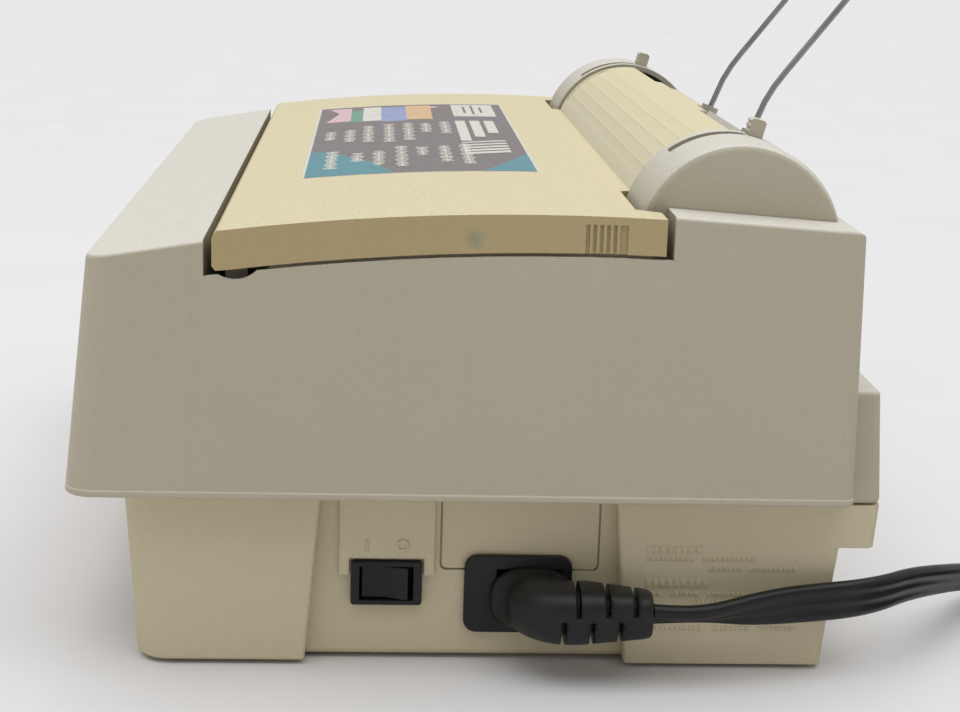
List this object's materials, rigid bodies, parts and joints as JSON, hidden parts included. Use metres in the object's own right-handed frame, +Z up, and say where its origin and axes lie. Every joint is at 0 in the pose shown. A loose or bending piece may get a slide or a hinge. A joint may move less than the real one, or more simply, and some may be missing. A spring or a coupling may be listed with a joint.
{
  "type": "desktop impact printer",
  "caption": "Desktop platen printer with a hinged access lid, lift-off platen hood, wire paper rest, rocker power switch and a detachable mains lead.",
  "frame": {"origin": "on the table under the middle of the plan outline of the machine with its paper rest, without the mains lead", "axes": "+X the machine's right side, with the power switch and inlet; +Y to the rear; +Z up; the operator stands at -Y"},
  "size_m": [0.4, 0.4436, 0.317],
  "materials": {
    "shell_plastic": "fine-textured off-white moulded plastic",
    "aged_plastic": "fine-textured moulded plastic, yellowed with age",
    "base_plastic": "fine-textured warm beige moulded plastic",
    "black_plastic": "semi-matt black moulded plastic",
    "cord_jacket": "smooth black flexible PVC",
    "foot_rubber": "dull black rubber",
    "roller_rubber": "ground black rubber",
    "plated_steel": "zinc-plated sheet steel",
    "ground_steel": "ground and polished steel rod",
    "dark_wire": "dark nickel-plated spring wire",
    "gear_plastic": "natural acetal",
    "brass": "turned brass",
    "motor_metal": "dark painted motor can",
    "head_metal": "grey cast aluminium",
    "board_green": "green solder-mask circuit board",
    "transformer_core": "varnished steel laminations and wound coil",
    "key_plastic": "smooth grey-beige moulded plastic",
    "light_lens": "clear green lens"
  },
  "bodies": {
    "case": {"base_tray": "base_plastic", "upper_shell": "shell_plastic", "rear_cover": "shell_plastic", "line_feed_motor": "motor_metal", "paper_pan": "plated_steel", "guide_rod_rear": "ground_steel", "guide_rod_front": "ground_steel", "carriage_motor": "motor_metal", "idler_bracket": "plated_steel", "drive_belt": "roller_rubber", "main_board": "board_green", "transformer": "transformer_core", "mains_inlet": "black_plastic", "switch_housing": "black_plastic", "data_connector": "head_metal", "panel_board": "board_green", "power_plug": "cord_jacket", "power_cord": "cord_jacket", "power_cord_coil": "cord_jacket", "wall_plug": "cord_jacket", "end_cap_right": "shell_plastic", "side_frame_right": "plated_steel", "platen_bush_right": "gear_plastic", "foot_right_front": "foot_rubber", "foot_right_rear": "foot_rubber", "end_cap_left": "shell_plastic", "side_frame_left": "plated_steel", "platen_bush_left": "gear_plastic", "foot_left_front": "foot_rubber", "foot_left_rear": "foot_rubber", "status_light_1": "light_lens", "status_light_2": "light_lens", "status_light_3": "light_lens"},
    "lid": {"lid": "aged_plastic"},
    "hood": {"platen_hood": "aged_plastic"},
    "release": {"release_lever": "shell_plastic"},
    "bail_control": {"bail_lever": "shell_plastic"},
    "platen": {"platen_shaft": "ground_steel", "platen_roller": "roller_rubber", "platen_gear": "gear_plastic"},
    "idler": {"idler_gear": "gear_plastic"},
    "pinion": {"feed_pinion": "brass"},
    "cradle": {"pressure_cradle": "plated_steel"},
    "pressure": {"pressure_rollers": "roller_rubber"},
    "bail": {"paper_bail": "ground_steel"},
    "bail_wheel_left": {"bail_roller_left": "roller_rubber"},
    "bail_wheel_middle": {"bail_roller_middle": "roller_rubber"},
    "bail_wheel_right": {"bail_roller_right": "roller_rubber"},
    "carriage": {"carriage": "black_plastic", "print_head": "head_metal", "ribbon_cartridge": "black_plastic"},
    "drive_wheel": {"drive_pulley": "brass"},
    "idler_wheel": {"idler_pulley": "gear_plastic"},
    "rocker": {"power_rocker": "black_plastic"},
    "paper_rest": {"paper_rest": "dark_wire"},
    "key_1": {"front_key_1": "key_plastic"},
    "key_2": {"front_key_2": "key_plastic"},
    "key_3": {"front_key_3": "key_plastic"}
  },
  "joints": [
    {"name": "lid_hinge", "type": "hinge", "parent": "case", "child": "lid", "pos_m": [0, -0.1212, 0.13], "axis": [1, 0, 0], "range_deg": [0, 80]},
    {"name": "hood_lift", "type": "slide", "parent": "case", "child": "hood", "axis": [0, 0, 1], "range_m": [0, 0.04]},
    {"name": "release_swing", "type": "hinge", "parent": "case", "child": "release", "pos_m": [0, 0.0262, 0.1307], "axis": [1, 0, 0], "range_deg": [0, 45]},
    {"name": "bail_control_swing", "type": "hinge", "parent": "case", "child": "bail_control", "pos_m": [0, 0.0262, 0.1307], "axis": [1, 0, 0], "range_deg": [0, 45]},
    {"name": "platen_turn", "type": "hinge", "parent": "case", "child": "platen", "pos_m": [0, 0.0262, 0.1307], "axis": [1, 0, 0], "continuous": true},
    {"name": "idler_turn", "type": "hinge", "parent": "case", "child": "idler", "pos_m": [0, 0.0262, 0.1047], "axis": [1, 0, 0], "continuous": true},
    {"name": "pinion_turn", "type": "hinge", "parent": "case", "child": "pinion", "pos_m": [0, 0.0262, 0.0887], "axis": [1, 0, 0], "continuous": true},
    {"name": "cradle_swing", "type": "hinge", "parent": "case", "child": "cradle", "pos_m": [0, 0.05, 0.101], "axis": [1, 0, 0], "range_deg": [0, 5]},
    {"name": "pressure_turn", "type": "hinge", "parent": "cradle", "child": "pressure", "pos_m": [0, 0.0262, 0.1074], "axis": [1, 0, 0], "continuous": true},
    {"name": "bail_swing", "type": "hinge", "parent": "case", "child": "bail", "pos_m": [0, 0.002, 0.124], "axis": [1, 0, 0], "range_deg": [0, 5]},
    {"name": "bail_wheel_left_turn", "type": "hinge", "parent": "bail", "child": "bail_wheel_left", "pos_m": [0, 0.01195, 0.14495], "axis": [1, 0, 0], "continuous": true},
    {"name": "bail_wheel_middle_turn", "type": "hinge", "parent": "bail", "child": "bail_wheel_middle", "pos_m": [0, 0.01195, 0.14495], "axis": [1, 0, 0], "continuous": true},
    {"name": "bail_wheel_right_turn", "type": "hinge", "parent": "bail", "child": "bail_wheel_right", "pos_m": [0, 0.01195, 0.14495], "axis": [1, 0, 0], "continuous": true},
    {"name": "carriage_travel", "type": "slide", "parent": "case", "child": "carriage", "axis": [1, 0, 0], "range_m": [-0.095, 0.095]},
    {"name": "drive_wheel_turn", "type": "hinge", "parent": "case", "child": "drive_wheel", "pos_m": [-0.11, -0.038, 0.079], "axis": [0, 0, 1], "range_deg": [-778, 778]},
    {"name": "idler_wheel_turn", "type": "hinge", "parent": "case", "child": "idler_wheel", "pos_m": [0.11, -0.038, 0.079], "axis": [0, 0, 1], "range_deg": [-778, 778]},
    {"name": "rocker_tip", "type": "hinge", "parent": "case", "child": "rocker", "pos_m": [0.154, -0.07615, 0.02565], "axis": [0, 0, 1], "range_deg": [0, 20]},
    {"name": "key_1_press", "type": "slide", "parent": "case", "child": "key_1", "axis": [0, 0.9949, -0.1009], "range_m": [0, 0.0012], "stiffness_N_per_m": 300, "springref_m": -0.0006},
    {"name": "key_2_press", "type": "slide", "parent": "case", "child": "key_2", "axis": [0, 0.9949, -0.1009], "range_m": [0, 0.0012], "stiffness_N_per_m": 300, "springref_m": -0.0006},
    {"name": "key_3_press", "type": "slide", "parent": "case", "child": "key_3", "axis": [0, 0.9949, -0.1009], "range_m": [0, 0.0012], "stiffness_N_per_m": 300, "springref_m": -0.0006},
    {"name": "paper_rest_pull", "type": "slide", "parent": "case", "child": "paper_rest", "axis": [0, 0.3714, 0.9285], "range_m": [0, 0.03]}
  ],
  "couplings": [
    {"joint": "idler_turn", "follows": "platen_turn", "ratio": -1.6},
    {"joint": "pinion_turn", "follows": "platen_turn", "ratio": 2.6667},
    {"joint": "pressure_turn", "follows": "platen_turn", "ratio": -2.8333},
    {"joint": "bail_wheel_left_turn", "follows": "platen_turn", "ratio": -6.0714},
    {"joint": "bail_wheel_middle_turn", "follows": "platen_turn", "ratio": -6.0714},
    {"joint": "bail_wheel_right_turn", "follows": "platen_turn", "ratio": -6.0714},
    {"joint": "cradle_swing", "follows": "release_swing", "ratio": 0.11111},
    {"joint": "bail_swing", "follows": "bail_control_swing", "ratio": 0.11111},
    {"joint": "drive_wheel_turn", "follows": "carriage_travel", "rad_per_m": -142},
    {"joint": "idler_wheel_turn", "follows": "carriage_travel", "rad_per_m": -142}
  ]
}
